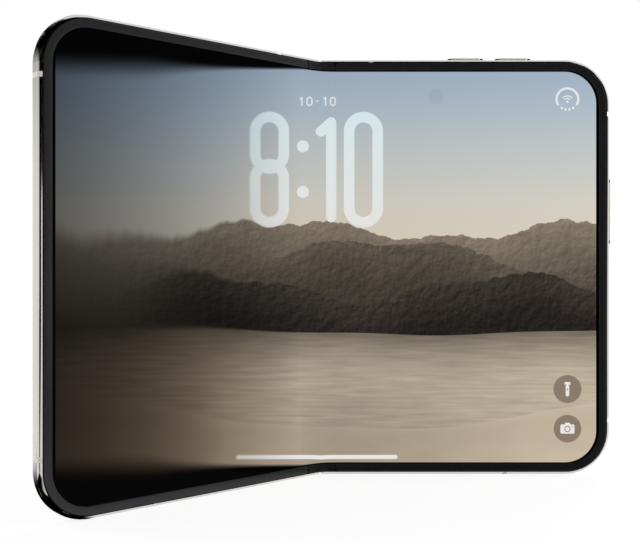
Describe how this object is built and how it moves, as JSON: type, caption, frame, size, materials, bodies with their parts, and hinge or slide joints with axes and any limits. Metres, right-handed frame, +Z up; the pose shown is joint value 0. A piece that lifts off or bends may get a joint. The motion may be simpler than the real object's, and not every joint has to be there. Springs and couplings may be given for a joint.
{
  "type": "foldable smartphone",
  "caption": "Book-style folding phone, half open and standing on its edge, with a folding display over a geared hinge, outer display, rear cameras and side buttons.",
  "frame": {"origin": "under the middle of the phone as it stands half open, on the surface that its lower edges rest on", "axes": "+X across, from the left half to the right half; +Y away from the viewer, into the right half from its display; +Z up along the fold"},
  "size_m": [0.1518, 0.061, 0.1213],
  "materials": {
    "polished_frame": "polished",
    "button_metal": "polished",
    "spine_metal": "satin",
    "antenna_plastic": "satin",
    "black_bezel": "satin",
    "display_panel": "glossy",
    "back_glass": "satin",
    "outer_glass": "glossy",
    "plateau_glass": "glossy",
    "lens_ring_metal": "polished",
    "lens_glass": "glossy",
    "camera_housing": "matte",
    "flash_lens": "frosted",
    "plate_metal": "satin",
    "hinge_steel": "satin",
    "screw_steel": "satin",
    "circuit_board": "satin",
    "shield_can": "satin",
    "battery_wrap": "satin",
    "inner_plastic": "matte",
    "copper_coil": "satin",
    "flex_film": "satin",
    "gear_brass": "satin"
  },
  "bodies": {
    "right_half": {"right_frame": "polished_frame", "right_mid_plate": "plate_metal", "right_display": "display_panel", "right_bezel": "black_bezel", "right_back_glass": "back_glass", "right_wing_plate": "plate_metal", "right_hinge_bracket": "hinge_steel", "right_bracket_screws": "screw_steel", "right_antenna_bands": "antenna_plastic", "camera_plateau": "plateau_glass", "main_lens_ring": "lens_ring_metal", "wide_lens_ring": "lens_ring_metal", "main_lens_glass": "lens_glass", "wide_lens_glass": "lens_glass", "main_camera": "camera_housing", "wide_camera": "camera_housing", "flash": "flash_lens", "inner_camera": "camera_housing", "logic_board": "circuit_board", "board_shield": "shield_can", "right_battery": "battery_wrap", "charging_port": "hinge_steel", "loudspeaker": "inner_plastic", "haptic_motor": "inner_plastic", "charging_coil": "copper_coil", "button_flex": "flex_film"},
    "left_half": {"left_frame": "polished_frame", "left_mid_plate": "plate_metal", "left_display": "display_panel", "left_bezel": "black_bezel", "left_wing_plate": "plate_metal", "left_hinge_bracket": "hinge_steel", "left_bracket_screws": "screw_steel", "left_antenna_bands": "antenna_plastic", "left_battery": "battery_wrap", "outer_glass": "outer_glass", "outer_display": "display_panel", "outer_camera": "camera_housing", "lower_board": "circuit_board", "earpiece": "inner_plastic"},
    "spine": {"spine_cover": "spine_metal", "spine_end_caps": "spine_metal", "upper_guide_block": "hinge_steel", "lower_guide_block": "hinge_steel", "spine_screws": "screw_steel", "upper_gear_plate": "hinge_steel", "lower_gear_plate": "hinge_steel", "idler_shafts": "hinge_steel", "friction_washers": "gear_brass", "hinge_flex": "flex_film", "display_fold_zone": "display_panel", "upper_bezel_strip": "black_bezel", "lower_bezel_strip": "black_bezel"},
    "right_idler": {"right_idler_gear": "gear_brass"},
    "left_idler": {"left_idler_gear": "gear_brass"},
    "volume_up": {"volume_up_button": "button_metal"},
    "volume_down": {"volume_down_button": "button_metal"},
    "side_key": {"side_button": "button_metal"}
  },
  "joints": [
    {"name": "fold_right", "type": "hinge", "parent": "right_half", "child": "spine", "pos_m": [-0.00854, 0.02326, 0], "axis": [0, 0, 1], "range_deg": [-20, 70], "deforming": ["display_fold_zone", "upper_bezel_strip", "lower_bezel_strip", "hinge_flex"]},
    {"name": "fold_left", "type": "hinge", "parent": "spine", "child": "left_half", "pos_m": [-0.0093, 0.02298, 0], "axis": [0, 0, 1], "range_deg": [-20, 70]},
    {"name": "right_idler_spin", "type": "hinge", "parent": "spine", "child": "right_idler", "pos_m": [-0.00863, 0.02526, 0], "axis": [0, 0, 1], "range_deg": [-210, 60]},
    {"name": "left_idler_spin", "type": "hinge", "parent": "spine", "child": "left_idler", "pos_m": [-0.01051, 0.02457, 0], "axis": [0, 0, 1], "range_deg": [-60, 210]},
    {"name": "volume_up_press", "type": "slide", "parent": "right_half", "child": "volume_up", "axis": [0, 0, -1], "range_m": [0, 0.0003], "stiffness_N_per_m": 600, "springref_m": -0.0006},
    {"name": "volume_down_press", "type": "slide", "parent": "right_half", "child": "volume_down", "axis": [0, 0, -1], "range_m": [0, 0.0003], "stiffness_N_per_m": 600, "springref_m": -0.0006},
    {"name": "side_key_press", "type": "slide", "parent": "right_half", "child": "side_key", "axis": [-1, 0, 0], "range_m": [0, 0.0003], "stiffness_N_per_m": 600, "springref_m": -0.0006}
  ],
  "couplings": [
    {"joint": "fold_left", "follows": "fold_right", "ratio": 1},
    {"joint": "right_idler_spin", "follows": "fold_right", "ratio": -3},
    {"joint": "left_idler_spin", "follows": "fold_right", "ratio": 3}
  ]
}
